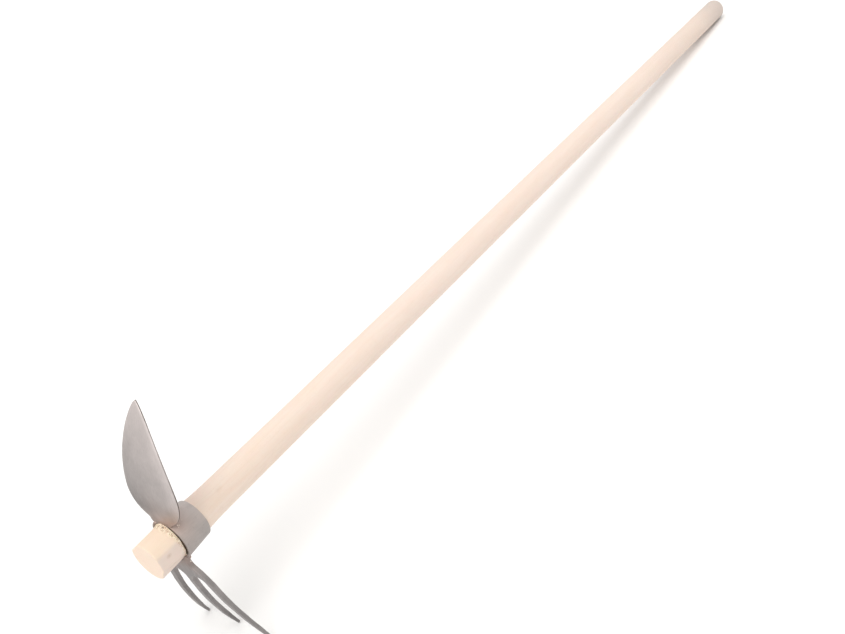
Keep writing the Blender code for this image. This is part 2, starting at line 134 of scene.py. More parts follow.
# Fork
TINE_REACH = 120.4 * MM
MIDDLE_TINE_SHORTFALL = 1.6 * MM
TINE_HALF_WIDTH = 3.5 * MM
TINE_POINT_LENGTH = 21 * MM
TINE_POINT_HALF_WIDTH = 1.6 * MM
TINE_POINT_POWER = 1.1
TINE_TIP_SPREAD = 43.5 * MM
TINE_SHOULDER_SPREAD = 26.5 * MM
TINE_SHOULDER_DEPTH = 44.8 * MM
TINE_STRAIGHTEN_DEPTH = 104.8 * MM
TINE_BEND_START = 0.8
TINE_BEND_LENGTH = 0.4
NEAR_CROTCH_DEPTH = 36.5 * MM
FAR_CROTCH_DEPTH = 34.3 * MM
FORK_NECK_HALF_WIDTH = 11.3 * MM
FORK_NECK_DEPTH = 21.8 * MM
FORK_NECK_PULL = np.array([0.12, 0.2])
FORK_SHOULDER_PULL = np.array([0.16, 0.4])
FORK_ROOT_DEPTH = 19 * MM
FORK_THICKNESS = 4.8 * MM
TINE_END_THICKNESS = 3.2 * MM
TINE_POINT_THICKNESS = 2.8 * MM
TINE_TIP_WIDTH_ROUND = 2.2 * MM
TINE_TIP_BACK_ROUND = 3.8 * MM
TINE_TIP_FORWARD = 1.0 * MM
FORK_SWEEP_RADIUS = 250 * MM
FORK_SWEEP_START = 28.8 * MM
FORK_SETBACK = 0.8 * MM
FORK_VOXEL = 0.38 * MM
FORK_SMOOTHINGS = 12

# Directions to the brightest sky and to the broad sun
SKY_BRIGHTEST = Vector((-0.3, 0.35, 0.89))
SUN_FROM = Vector((-0.18, -0.28, 0.94))
# Lens of the photo
FOCAL_LENGTH_PIXELS = 1000
PHOTO_WIDTH_PIXELS = 845

# Welds
WELD_LEG = 3.0 * MM
BLADE_WELD_OVERRUN = 0.8 * MM
FORK_WELD_OVERRUN = -0.3 * MM
WELD_RIPPLES = 17
WELD_RIPPLE_DEPTH = 0.26 * MM
WELD_HEAT = 0.8
SPATTER_COUNT = 16
# Painted highlight: brightness factor of the spatter beads
SPATTER_HIGHLIGHT = 2.3


# Noise and small helpers

def hashed(cell, seed):
    """One value from -1 to 1 for each cell of a lattice."""
    value = cell @ np.array([374761393, 668265263, 2147483647]) + seed * 1274126177
    value = ((value ^ (value >> 13)) & 0xFFFFFFF) * 1274126177
    value = ((value ^ (value >> 16)) & 0xFFFFFFF) * 1103515245
    return ((value ^ (value >> 15)) & 0xFFFF) / 32767.5 - 1.0


def field(points, size, seed):
    """Smooth noise from -1 to 1, with lumps of the given size in millimetres along x, y and z."""
    scaled = np.asarray(points, float) / (np.asarray(size, float) * MM)
    cell = np.floor(scaled).astype(np.int64)
    part = ease(scaled - cell)
    total = 0.0
    for step in np.ndindex(2, 2, 2):
        weight = np.prod(np.where(step, part, 1.0 - part), axis=-1)
        total = total + weight * hashed(cell + step, seed)
    return total


def unit(value):
    """Value kept from 0 to 1."""
    return np.clip(value, 0.0, 1.0)


def ease(value):
    """Value kept from 0 to 1, with a soft start and end."""
    value = unit(value)
    return value * value * (3.0 - 2.0 * value)


def soft_min(a, b, width):
    """Smaller of two values, with a rounded change from one to the other."""
    blend = unit(0.5 + 0.5 * (b - a) / width)
    return b + (a - b) * blend - width * blend * (1.0 - blend)


def columns(*values):
    return np.stack(values, axis=-1)


def sweep_offset(distance, radius):
    return radius - np.sqrt(radius * radius - distance * distance)


def add_object(name, data):
    obj = bpy.data.objects.new(name, data)
    bpy.context.scene.collection.objects.link(obj)
    return obj


def make_piece(name, points, faces, material, slot, smooth_angle, **marks):
    """Mesh from points in the tool's frame. It keeps them, and the values in marks, for the shader."""
    points = np.array(points, float)
    placed = points @ np.array(PLACE.to_3x3()).T + np.array(PLACE.translation)
    mesh = bpy.data.meshes.new(name)
    mesh.from_pydata(placed.tolist(), [], faces)
    kept = mesh.attributes.new("tool_place", "FLOAT_VECTOR", "POINT")
    kept.data.foreach_set("vector", points.astype(np.float32).ravel())
    for label, values in marks.items():
        mark = mesh.attributes.new(label, "FLOAT", "POINT")
        mark.data.foreach_set("value", np.asarray(values, np.float32))
    work = bmesh.new()
    work.from_mesh(mesh)
    bmesh.ops.recalc_face_normals(work, faces=work.faces)
    work.to_mesh(mesh)
    work.free()
    mesh.shade_smooth()
    mesh.set_sharp_from_angle(angle=math.radians(smooth_angle))
    mesh.materials.append(material)
    obj = add_object(name, mesh)
    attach(obj, "root")
    return obj


def round_angles(segments):
    return np.linspace(0.0, 2 * math.pi, segments, endpoint=False)


def skin_faces(rings, segments, offset=0, join_ends=False, caps=False):
    """Quads between rings of equal length. The ends can be joined to each other or closed with caps."""
    faces = []
    for i in range(rings if join_ends else rings - 1):
        here, there = offset + i * segments, offset + (i + 1) % rings * segments
        for j in range(segments):
            k = (j + 1) % segments
            faces.append((here + j, here + k, there + k, there + j))
    if caps:
        for start in (offset, offset + (rings - 1) * segments):
            faces.append(tuple(range(start, start + segments)))
    return faces


# Shader building

class Look:
    """Nodes of a material or a world, with short calls for those that are used."""

    def __init__(self, owner, shader="Principled BSDF"):
        owner.use_nodes = True
        self.owner = owner
        self.tree = owner.node_tree
        self.shader = self.tree.nodes[shader]
        self.place = self.add("ShaderNodeAttribute", attribute_name="tool_place").outputs["Vector"]

    def add(self, kind, **settings):
        node = self.tree.nodes.new(kind)
        for key, value in settings.items():
            setattr(node, key, value)
        return node

    def feed(self, socket, value):
        if isinstance(value, bpy.types.NodeSocket):
            self.tree.links.new(value, socket)
        else:
            socket.default_value = value

    def maths(self, operation, a, b=0.0):
        node = self.add("ShaderNodeMath", operation=operation)
        self.feed(node.inputs[0], a)
        self.feed(node.inputs[1], b)
        return node.outputs[0]

    def times(self, a, b):
        return self.maths("MULTIPLY", a, b)

    def vector(self, operation, a, b=(0.0, 0.0, 0.0), output="Vector"):
        node = self.add("ShaderNodeVectorMath", operation=operation)
        self.feed(node.inputs[0], a)
        self.feed(node.inputs[1], b)
        return node.outputs[output]

    def noise(self, size, detail=2.0, rough=0.5, turn=0.0, warp=0.0):
        """Noise with lumps of a size in millimetres, one or one an axis, turned by degrees about X."""
        stretch = self.add("ShaderNodeMapping")
        self.feed(stretch.inputs["Vector"], self.place)
        stretch.inputs["Rotation"].default_value = (math.radians(turn), 0.0, 0.0)
        stretch.inputs["Scale"].default_value = [1.0 / (value * MM) for value in np.broadcast_to(size, 3)]
        node = self.add("ShaderNodeTexNoise")
        self.feed(node.inputs["Vector"], stretch.outputs[0])
        settings = (("Scale", 1.0), ("Detail", detail), ("Roughness", rough), ("Distortion", warp))
        for label, number in settings:
            node.inputs[label].default_value = number
        return node.outputs["Fac"]

    def span(self, value, low, high, to_low=0.0, to_high=1.0, smooth=False):
        node = self.add("ShaderNodeMapRange", clamp=True)
        node.interpolation_type = "SMOOTHSTEP" if smooth else "LINEAR"
        self.feed(node.inputs["Value"], value)
        ends = (("From Min", low), ("From Max", high), ("To Min", to_low), ("To Max", to_high))
        for label, number in ends:
            node.inputs[label].default_value = number
        return node.outputs[0]

    def mix(self, share, a, b, blend="MIX"):
        node = self.add("ShaderNodeMix", data_type="RGBA", blend_type=blend)
        self.feed(node.inputs["Factor"], share)
        for socket, value in ((node.inputs[6], a), (node.inputs[7], b)):
            self.feed(socket, value if isinstance(value, bpy.types.NodeSocket) else (*value, 1.0))
        return node.outputs[2]

    def tint(self, colour, paint, most, value, low=0.0, high=1.0, smooth=False, blend="MIX"):
        """Colour mixed with a paint, by a share that goes from 0 to most as value goes from low to high."""
        return self.mix(self.span(value, low, high, 0.0, most, smooth), colour, paint, blend)

    def mark(self, label):
        return self.add("ShaderNodeAttribute", attribute_name=label).outputs["Fac"]

    def away_from(self, point, stretch):
        """Distance from a point in millimetres, shorter along the grain by the factor stretch."""
        shift = self.vector("SUBTRACT", self.place, [value * MM for value in point])
        return self.vector("LENGTH", self.vector("DIVIDE", shift, (stretch, 1.0, 1.0)), output="Value")

    def set(self, label, value):
        self.feed(self.shader.inputs[label], value)

    def relief(self, *layers):
        """Bumps on top of each other, each with its height field and its depth in millimetres."""
        normal = None
        for height, depth in layers:
            node = self.add("ShaderNodeBump")
            node.inputs["Strength"].default_value = 1.0
            node.inputs["Distance"].default_value = depth * MM
            self.feed(node.inputs["Height"], height)
            if normal:
                self.feed(node.inputs["Normal"], normal)
            normal = node.outputs[0]
        self.set("Normal", normal)


def wood_look():
    """Pale close-grained wood, long grain on the shaft and growth rings on the sawn end."""
    look = Look(bpy.data.materials.new("pale_wood"))
    axes = look.add("ShaderNodeSeparateXYZ")
    look.feed(axes.inputs[0], look.place)
    x, y, z = axes.outputs
    # Growth rings about a pith outside the stick, with X left out by a huge stretch
    reach = look.away_from((0, 46, -31), 1e6)
    drift = look.times(look.noise((300, 16, 16)), 9 * MM)
    ring_width = 2.3 * MM
    rings = look.maths("DIVIDE", look.maths("ADD", reach, drift), ring_width)
    ring_step = look.maths("FRACT", rings)
    late_wood = look.span(ring_step, 0.55, 0.97, smooth=True)
    late_wood = look.times(late_wood, look.span(ring_step, 0.97, 1.0, 1.0, 0.0))
    # Long soft patches, fine fibres and short dark pores
    patches = look.noise((55, 9, 9), 3.0, 0.55, warp=0.4)
    blush = look.noise((26, 5, 5))
    fibres = look.noise((28, 0.55, 0.55), 3.0, 0.6)
    pores = look.noise((3.2, 0.22, 0.22), 1.0)
    pore_share = look.span(pores, 0.66, 0.76)
    colour = look.mix(look.span(patches, 0.32, 0.7), (0.872, 0.74, 0.642), (0.856, 0.694, 0.578))
    colour = look.tint(colour, (0.885, 0.705, 0.625), 0.45, blush, 0.5, 0.74)
    colour = look.tint(colour, (0.79, 0.61, 0.48), 0.2, late_wood)
    colour = look.tint(colour, (0.81, 0.64, 0.51), 0.16, fibres, 0.35, 0.75)
    colour = look.tint(colour, (0.56, 0.39, 0.27), 0.3, pore_share)
    # The stub is yellower on top, and its lower near side is painted greyer and darker as shade
    colour = look.tint(colour, (0.88, 0.705, 0.535), 0.6, x, 2 * MM, -4 * MM)
    near_side_shade = look.times(look.span(x, 2 * MM, -2 * MM), look.span(z, 9 * MM, 5 * MM, 0.0, 0.58))
    colour = look.mix(near_side_shade, colour, (0.716, 0.606, 0.575))
    # Painted light on the upper far side just behind the eye, lifting the shade of the eye and the blade;
    # paler along the shaft, and darker towards the grip
    away_side = look.span(look.maths("ADD", y, z), 4 * MM, 18 * MM, 0.0, 0.9)
    painted_light_behind_eye = look.times(look.span(x, 80 * MM, 32 * MM), away_side)
    painted_light_behind_eye = look.times(painted_light_behind_eye, look.span(x, 8 * MM, 16 * MM))
    colour = look.mix(painted_light_behind_eye, colour, (1.0, 0.8, 0.7))
    colour = look.tint(colour, (0.89, 0.75, 0.69), 0.35, x, 90 * MM, 350 * MM)
    colour = look.tint(colour, (0.725, 0.603, 0.525), 0.72, x, 880 * MM, 1165 * MM)
    # Knots and marks seen in the photo
    oval = look.away_from((54.6, -11.2, 11.3), 1.9)
    colour = look.tint(colour, (0.62, 0.45, 0.34), 0.15, oval, 3.4 * MM, 0.8 * MM, smooth=True)
    knot = look.away_from((-15.1, -17.4, 2.4), 1.5)
    radians_per_metre = 5200
    knot_ring = look.maths("SINE", look.times(knot, radians_per_metre))
    knot_share = look.times(look.span(knot, 2.3 * MM, 0.6 * MM, 0.0, 0.5, smooth=True),
                            look.span(knot_ring, -1.0, 1.0, 0.45, 1.0))
    colour = look.mix(knot_share, colour, (0.52, 0.37, 0.27))
    scar = look.away_from((-15.3, -14.7, -8.9), 2.2)
    scar_share = look.times(look.span(scar, 1.9 * MM, 1.2 * MM, smooth=True),
                            look.span(scar, 0.7 * MM, 1.2 * MM, smooth=True))
    colour = look.tint(colour, (0.52, 0.38, 0.29), 0.45, scar_share)
    # Torn fibres: light yellow, with painted shadow in the gaps between them and painted highlights on the
    # raised tufts
    torn = look.mark("torn")
    grains = look.noise((1.9, 0.8, 0.8), 2.0, 0.6)
    colour = look.tint(colour, (0.985, 0.84, 0.64), 0.5, torn)
    fibre_shadow = look.times(torn, look.span(grains, 0.48, 0.39))
    colour = look.tint(colour, (0.44, 0.275, 0.145), 0.9, fibre_shadow)
    fibre_highlight = look.times(torn, look.span(grains, 0.56, 0.62))
    colour = look.tint(colour, (1.0, 0.94, 0.74), 0.8, fibre_highlight)
    # The groove beside the rim and the torn pit are painted near black as shade
    colour = look.mix(look.mark("groove"), colour, (0.12, 0.07, 0.035))
    # End grain: pores as dots and faint saw marks
    end = look.mark("end")
    dots = look.noise((2.0, 0.45, 0.45), 1.0)
    end_colour = look.tint((0.935, 0.755, 0.62), (0.85, 0.65, 0.505), 0.4, late_wood)
    end_colour = look.tint(end_colour, (0.64, 0.47, 0.34), 0.25, dots, 0.6, 0.72)
    saw = look.noise((30, 25, 0.8), turn=28)
    end_colour = look.tint(end_colour, (0.78, 0.62, 0.48), 0.2, saw, 0.45, 0.75)
    colour = look.mix(end, colour, end_colour)
    colour = look.tint(colour, (0.61, 0.53, 0.485), 0.95, x, 1085 * MM, 1171 * MM)
    look.set("Base Color", colour)
    look.set("Roughness", look.span(fibres, 0.2, 0.8, 0.5, 0.66))
    look.set("Specular IOR Level", 0.35)
    look.set("Subsurface Weight", 0.04)
    look.set("Subsurface Scale", 0.002)
    look.relief((fibres, 0.05), (look.times(pore_share, -1.0), 0.04), (look.times(torn, grains), 0.5),
                (look.times(end, saw), 0.12))
    return look.owner


def steel_look(name, base, dark, warm, roughness, metallic, grind_size, patch, pitting, grind_turn=0.0):
    """Bare worked steel in three shades, with grinding marks and patches of the given sizes."""
    look = Look(bpy.data.materials.new(name))
    base, dark = np.array(base), np.array(dark)
    patches = look.noise(patch, 4.0, 0.55, warp=0.5)
    clouds = look.noise(patch * 2.6)
    fine = look.noise(0.9, 3.0, 0.6)
    grind = look.noise(grind_size, 4.0, 0.65, grind_turn)
    pits = look.noise(1.7)
    colour = look.mix(look.span(patches, 0.34, 0.68), base, dark)
    colour = look.tint(colour, warm, 0.6, clouds, 0.4, 0.66)
    colour = look.tint(colour, base * 0.72, 0.3, grind, 0.3, 0.72)
    pit_share = look.times(look.span(pits, 0.67, 0.75), pitting)
    colour = look.mix(pit_share, colour, dark * 0.35)
    rough = look.span(grind, 0.25, 0.75, roughness - 0.06, roughness + 0.1)
    rough = look.maths("ADD", rough, look.span(patches, 0.3, 0.7, -0.03, 0.05))
    # The rim of the leaf is ground brighter
    ground = look.mark("ground")
    colour = look.tint(colour, base * 1.35, 0.65, ground)
    rough = look.maths("SUBTRACT", rough, look.times(ground, 0.08))
    # Painted light and shade scale the brightness
    colour = look.vector("MULTIPLY", colour, look.mark("worn"))
    # Weld heat: straw at some distance, brown close to the bead
    glow = look.times(look.mark("weld_heat"), look.span(patches, 0.2, 0.8, 0.65, 1.0))
    colour = look.tint(colour, (1.0, 0.82, 0.74), 0.75, glow, 0.05, 0.6, blend="MULTIPLY")
    colour = look.tint(colour, (0.88, 0.76, 0.66), 0.35, glow, 0.6, 0.95, blend="MULTIPLY")
    rough = look.maths("ADD", rough, look.times(glow, 0.04))
    # Painted shade in the gap to the wood, and scale with painted shade on sheared edges
    soot = look.mark("soot")
    colour = look.mix(soot, colour, (0.11, 0.085, 0.07))
    rough = look.maths("ADD", rough, look.times(soot, 0.2))
    look.set("Base Color", colour)
    look.set("Metallic", look.maths("SUBTRACT", metallic, look.times(glow, 0.1)))
    look.set("Roughness", rough)
    look.relief((grind, 0.025), (patches, 0.12), (fine, 0.015), (look.times(pit_share, -1.0), 0.1))
    return look.owner


# Handle

def shaft_radius(x):
    """Radius of the turned handle at each x."""
    x = np.asarray(x, float)
    stub = WOOD_RADIUS_AT_RIM + (STUB_RADIUS - WOOD_RADIUS_AT_RIM) * -x / STUB_LENGTH
    taper_slope = (WOOD_RADIUS_AT_FAR_RIM - WOOD_RADIUS_AT_RIM) / EYE_LENGTH
    taper = WOOD_RADIUS_AT_RIM + taper_slope * x
    shaft_start = EYE_LENGTH + SWELL_LENGTH
    shaft_slope = (SHAFT_GRIP_RADIUS - SHAFT_HEAD_RADIUS) / (GRIP_END - shaft_start)
    shaft = SHAFT_HEAD_RADIUS + shaft_slope * (x - shaft_start)
    t = (x - EYE_LENGTH) / SWELL_LENGTH
    swell = ((2 * t ** 3 - 3 * t ** 2 + 1) * WOOD_RADIUS_AT_FAR_RIM
             + (t ** 3 - 2 * t ** 2 + t) * SWELL_LENGTH * taper_slope
             + (3 * t ** 2 - 2 * t ** 3) * SHAFT_HEAD_RADIUS
             + (t ** 3 - t ** 2) * SWELL_LENGTH * shaft_slope)
    return np.select([x <= 0.0, x <= EYE_LENGTH, x < shaft_start], [stub, taper, swell], shaft)


def on_round(x, radius, angle):
    """Points at an angle that runs from the near side (-Y) towards the blade."""
    x, radius, angle = np.broadcast_arrays(x, radius, angle)
    return columns(x, -radius * np.cos(angle), radius * np.sin(angle))


def round_degrees(angle):
    """Angle in degrees from -180 to 180."""
    return np.degrees((angle + math.pi) % (2 * math.pi) - math.pi)


def flat_depth(x, at_rim, at_end):
    return at_rim + (at_end - at_rim) * unit(-x / STUB_LENGTH)


def torn_shape(x, angle):
    """How torn the wood is, from 0 to 1, and how high the tear stands."""
    degrees = round_degrees(angle)
    width = np.interp(degrees, TORN_ANGLES, TORN_WIDTHS) * MM
    height = np.interp(degrees, TORN_ANGLES, TORN_HEIGHTS) * MM
    ring = on_round(0.0, TORN_RADIUS, angle)
    width *= 1.0 + 0.35 * field(ring, 2.1, 3) + 0.18 * field(ring, 0.9, 4)
    start = -0.6 * MM - width
    share = ease((x - start) / (0.45 * width))
    rise = (0.35 + 0.65 * unit((x - start) / width)) * share
    return share, height * rise


def handle_points(x, angle):
    """Surface of the handle on a grid of x and angle, with its shader marks."""
    radius = shaft_radius(x) * np.ones_like(angle)
    plain = on_round(x, radius, angle)
    on_stub = x < -0.01 * MM
    for turn, at_rim, at_end in PLANED_FLATS:
        facing = np.cos(angle - math.radians(turn))
        uneven = FLAT_UNEVENNESS * field(plain, (9, 4, 4), 7)
        flat = (STUB_RADIUS - flat_depth(x, at_rim, at_end) + uneven) / np.maximum(facing, 0.3)
        radius = np.where(on_stub, soft_min(radius, flat, FLAT_EDGE_ROUND), radius)
    # Broken edge of the sawn end, with small chips
    edge = STUB_EDGE_ROUND * (1.0 + 0.3 * field(plain, (40, 3, 3), 8))
    near = unit(1.0 - (x - SAWN_END) / edge)
    radius -= on_stub * edge * (1.0 - np.sqrt(1.0 - near * near))
    # Torn wood and the groove beside the rim
    torn, height = torn_shape(x, angle)
    rough = (0.55 + 0.28 * field(plain, (1.9, 1.1, 1.1), 11)
             + 0.34 * field(plain, (1.0, 0.6, 0.6), 12))
    gap_width = np.interp(round_degrees(angle), GAP_ANGLES, GAP_WIDTHS) * MM
    groove = ease((x + gap_width * (1.0 + 0.15 * field(plain, 2, 13))) / (0.25 * MM))
    torn *= on_stub
    radius += on_stub * height * rough * (1.0 - groove)
    groove *= ease((4 * MM - x) / (2 * MM))
    radius += (GAP_RADIUS - radius) * groove
    from_pit = plain - on_round(PIT_X, PIT_RADIUS, math.radians(PIT_DEGREES))
    pit = ease(1.4 - np.linalg.norm(from_pit / (1.0, 1.2, 1.2), axis=-1) / PIT_SIZE) * on_stub
    radius -= PIT_DEPTH * pit
    # Hand-shaved unevenness of the shaft
    beyond = ease((x - EYE_LENGTH) / (20 * MM))
    radius += beyond * SHAFT_UNEVENNESS * (field(plain, (60, 12, 12), 15) - 1.0)
    # The groove and the pit are painted dark as shade, paler on the far side
    paler = 0.8 * ease((round_degrees(angle) - 105) / 20)
    dark = np.maximum(groove, 0.9 * pit) * (1.0 - paler)
    return on_round(x, radius, angle), radius, torn * (1.0 - groove), dark


def build_handle(material):
    angle = round_angles(HANDLE_SEGMENTS)
    edge = SAWN_END + np.array([0.0, 0.04, 0.12, 0.25, 0.42, 0.65, 0.95, 1.3, 1.75, 2.2]) * MM
    stub = np.arange(edge[-1] + 0.6 * MM, -7.5 * MM, 0.6 * MM)
    tear = np.arange(-7.4 * MM, -0.3 * MM, 0.16 * MM)
    inside = np.array([-0.29, -0.15, 0.0, 0.2, 1.0, 2.0, 3.0, 4.0, 14.0, 24.0, 27.0]) * MM
    swell = np.linspace(EYE_LENGTH, EYE_LENGTH + SWELL_LENGTH, 26)
    dome_start = GRIP_END - GRIP_DOME_LENGTH
    shaft = np.linspace(swell[-1], dome_start, 190)[1:]
    x = np.concatenate([edge, stub, tear, inside, swell, shaft])
    points, radius, torn, dark = handle_points(x[:, None], angle[None, :])
    # Rings from the middle of the sawn face to the grip, each with its marks: torn, groove (painted shade)
    # and end grain
    plain = np.zeros(HANDLE_SEGMENTS)
    rings = []
    for share in np.linspace(0.04, 1.0, 26)[:-1]:
        face = on_round(SAWN_END, radius[0] * share, angle)
        face[:, 0] += SAWN_HOLLOW * (1.0 + field(face, (1000, 5, 5), 21)) * (1.0 - share ** 6)
        rings.append((face, plain, plain, plain + 1.0))
    for i, level in enumerate(x):
        rings.append((points[i], torn[i], dark[i], plain + ease(1.0 - (level - SAWN_END) / (0.9 * MM))))
    for degrees in np.linspace(0.0, 88.0, 22)[1:]:
        turn = math.radians(degrees)
        ring = on_round(dome_start + GRIP_DOME_LENGTH * math.sin(turn), radius[-1] * math.cos(turn), angle)
        rings.append((ring, plain, plain, plain + 0.7 * ease((degrees - 30) / 50)))
    places, torn, dark, end = (np.concatenate(column) for column in zip(*rings))
    first, last = len(places), len(places) + 1
    middles = [(SAWN_END + 0.2 * MM, 0.0, 0.0), (GRIP_END, 0.0, 0.0)]
    faces = skin_faces(len(rings), HANDLE_SEGMENTS)
    for j in range(HANDLE_SEGMENTS):
        k = (j + 1) % HANDLE_SEGMENTS
        faces.append((first, k, j))
        faces.append((last, first - HANDLE_SEGMENTS + j, first - HANDLE_SEGMENTS + k))
    handle = make_piece("handle_wood", [*places, *middles], faces, material, "ash_wood", 40,
                        torn=[*torn, 0.0, 0.0], groove=[*dark, 0.0, 0.0], end=[*end, 1.0, 0.7])
    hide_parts("handle")


def build_fibres(material):
    """Shavings that the rim has lifted, each rooted in the stub and free at the rim."""
    chance = random.Random(5)
    points, faces = [], []
    while len(points) < FIBRE_COUNT * FIBRE_STEPS * 4:
        degrees = chance.uniform(-25, 118)
        turn = math.radians(degrees)
        room = np.interp(degrees, TORN_ANGLES, TORN_WIDTHS)
        if chance.random() > room / max(TORN_WIDTHS):
            continue
        length = chance.uniform(0.3, 0.75) * room * MM
        gap = np.interp(degrees, GAP_ANGLES, GAP_WIDTHS)
        free_end = -chance.uniform(gap + 0.1, gap + 0.2 + 0.5 * room) * MM
        lift = chance.uniform(0.2, 0.8) * MM
        half_width = chance.uniform(0.14, 0.42) * MM
        thick = chance.uniform(0.1, 0.22) * MM
        drift = chance.uniform(-0.35, 0.35) * MM
        base = len(points)
        for share in np.linspace(0.0, 1.0, FIBRE_STEPS):
            x = free_end - length * (1.0 - share)
            rise = lift * share ** 1.6
            radius = WOOD_RADIUS_AT_RIM + 0.25 * MM + rise
            for lean, at_rim, at_end in PLANED_FLATS:
                face = math.cos(turn - math.radians(lean))
                if face > 0.3:
                    flat = (STUB_RADIUS - flat_depth(x, at_rim, at_end)) / face
                    radius = min(radius, flat + 0.35 * MM + rise)
            middle = turn + drift * share / TORN_RADIUS
            spread = half_width * math.sin(math.pi * (0.12 + 0.8 * share)) / TORN_RADIUS
            depth = thick * (0.5 + 0.5 * math.sin(math.pi * (0.15 + 0.75 * share)))
            for sunk, side in ((depth, -1), (depth, 1), (0.0, 1), (0.0, -1)):
                points.append(on_round(x, radius - sunk, middle + spread * side))
        faces += skin_faces(FIBRE_STEPS, 4, base, caps=True)
    make_piece("torn_fibres", points, faces, material, "ash_wood", 60, torn=np.full(len(points), 0.85))


# Eye

def eye_outer_radius(x):
    wall = EYE_RIM_WALL + (EYE_FAR_WALL - EYE_RIM_WALL) * x / EYE_LENGTH
    return shaft_radius(x) + EYE_CLEARANCE + wall


def near_weld(points, root_angle, side):
    """Share of weld heat at points on the eye: 1 at the root of a plate, 0 some way off."""
    angle = np.arctan2(side * points[:, 2], -points[:, 1]) - 0.5 * math.pi
    along = points[:, 0] - 2.5 * MM
    gap = np.maximum(np.abs(angle) - root_angle, 0.0) * 20 * MM
    away = np.sqrt(gap ** 2 + np.maximum(np.abs(along) - 2 * MM, 0.0) ** 2)
    return np.exp(-away / (10 * MM))


def quarter_round(radius, steps):
    """Pairs of setbacks from two faces, round the edge between them. The first of a pair falls to 0."""
    turn = np.radians(np.linspace(0, 90, steps))
    return zip(radius * (1 - np.sin(turn)), radius * (1 - np.cos(turn)))


def build_eye(material):
    """Forged ring with a softly rounded rim."""
    # Profile as x, face and setback from that face
    profile = [(a, "in", b) for a, b in quarter_round(EYE_RIM_ROUND, 5)]
    profile += [(b, "out", a) for a, b in quarter_round(EYE_RIM_ROUND, 12)]
    profile += [(x, "out", 0.0) for x in np.linspace(EYE_RIM_ROUND, EYE_LENGTH - EYE_FAR_ROUND, 34)[1:-1]]
    profile += [(EYE_LENGTH - a, "out", b) for a, b in quarter_round(EYE_FAR_ROUND, 7)]
    profile += [(EYE_LENGTH - b, "in", a) for a, b in quarter_round(EYE_RIM_ROUND, 5)]
    profile += [(x, "in", 0.0) for x in (20 * MM, 14 * MM, 7 * MM)]
    angle = round_angles(EYE_SEGMENTS)
    rings = []
    for x, face, setback in profile:
        if face == "in":
            rings.append(on_round(x, shaft_radius(x) + EYE_CLEARANCE + setback, angle))
            continue
        plain = on_round(x, 20 * MM, angle)
        dents = 0.07 * MM * (field(plain, 9, 31) - 1.0) + 0.03 * MM * (field(plain, 3.5, 32) - 1.0)
        rings.append(on_round(x, eye_outer_radius(x) - setback + dents, angle))
    faces = skin_faces(len(rings), EYE_SEGMENTS, join_ends=True)
    points = np.concatenate(rings)
    heat = np.maximum(near_weld(points, 0.62, 1), 0.4 * near_weld(points, 0.5, -1))
    x, y, z = points.T
    wall = np.hypot(y, z) - WOOD_RADIUS_AT_RIM - EYE_CLEARANCE
    turn = np.degrees(np.arctan2(z, -y))
    # Painted shade inside the rim, in the gap to the wood, most of it on the near side, and some on the far
    # side
    soot = ease(1.0 - (wall - 0.8 * MM) / (0.8 * MM)) + ease(1.0 - (wall - 1.9 * MM) / (0.6 * MM))
    soot *= 0.45 * ease(1.0 - x / (2 * MM)) * ease((turn + 42) / 12) * (1.0 - 0.75 * ease((turn - 66) / 16))
    soot += 0.45 * ease(1.0 - x / (3 * MM)) * ease((turn - 114) / 14) * ease((178 - turn) / 14)
    # Painted light and shade: brightest near the top, dull underneath and on the far side
    worn = 0.92 + 0.5 * ease((turn + 6) / 45) + 0.3 * ease((turn - 60) / 30)
    worn -= 0.8 * ease((turn - 125) / 54)
    eye = make_piece("eye_ring", points, faces, material, "eye_steel", 40,
                     weld_heat=heat, soot=soot, worn=worn)
    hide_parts("eye_collar")


# Blade

def blade_half_width(z):
    z = np.asarray(z, float)
    drop = unit((BLADE_WIDEST - z) / BLADE_FOOT_HEIGHT)
    rise = unit((z - BLADE_WIDEST) / (BLADE_REACH - BLADE_WIDEST))
    leaf = (1.0 - rise ** BLADE_SIDE_POWER) ** BLADE_POINT_POWER
    return BLADE_HALF_WIDTH * np.where(z <= BLADE_WIDEST, np.sqrt(1.0 - drop * drop), leaf)


def blade_middle_x(y, z):
    lean = BLADE_SETBACK + sweep_offset(z - BLADE_SWEEP_START, BLADE_SWEEP_RADIUS)
    half = blade_half_width(z)
    return lean - BLADE_DISH * (half * half - y * y) / (BLADE_HALF_WIDTH ** 2)


def blade_meets_eye():
    """Height and half width where the foot of the blade meets the outside of the eye."""
    radius = float(eye_outer_radius(BLADE_SETBACK))
    low, high = BLADE_WIDEST - BLADE_FOOT_HEIGHT, radius
    for _ in range(40):
        z = 0.5 * (low + high)
        inside = np.hypot(blade_half_width(z), z) < radius
        low, high = (z, high) if inside else (low, z)
    return z, float(blade_half_width(z))


MEET_Z, MEET_HALF = blade_meets_eye()
ROOT_SPREAD = math.atan2(MEET_HALF, MEET_Z)
ROOT_Z = ROOT_RADIUS * math.cos(ROOT_SPREAD)
ROOT_HALF = ROOT_RADIUS * math.sin(ROOT_SPREAD)
BLADE_TOP = BLADE_REACH - BLADE_TIP_SHORTFALL


def leaf_half_width(z):
    """Half width with the foot narrowed evenly to the rim of the eye, and with a blunt point."""
    share = (z - ROOT_Z) / (MEET_Z - ROOT_Z)
    half = np.where(z < MEET_Z, ROOT_HALF + (MEET_HALF - ROOT_HALF) * share, blade_half_width(z))
    past = unit((z - BLADE_TOP + BLADE_TIP_ROUND) / BLADE_TIP_ROUND)
    return half * np.sqrt(1.0 - past * past)


def far_half_width(z):
    """Half width on the far side, where the foot is cut closer just above the eye."""
    closer = ease((z - 20.5 * MM) / (2 * MM)) * ease((28 * MM - z) / (5 * MM))
    return leaf_half_width(z) - BLADE_FOOT_TRIM * closer


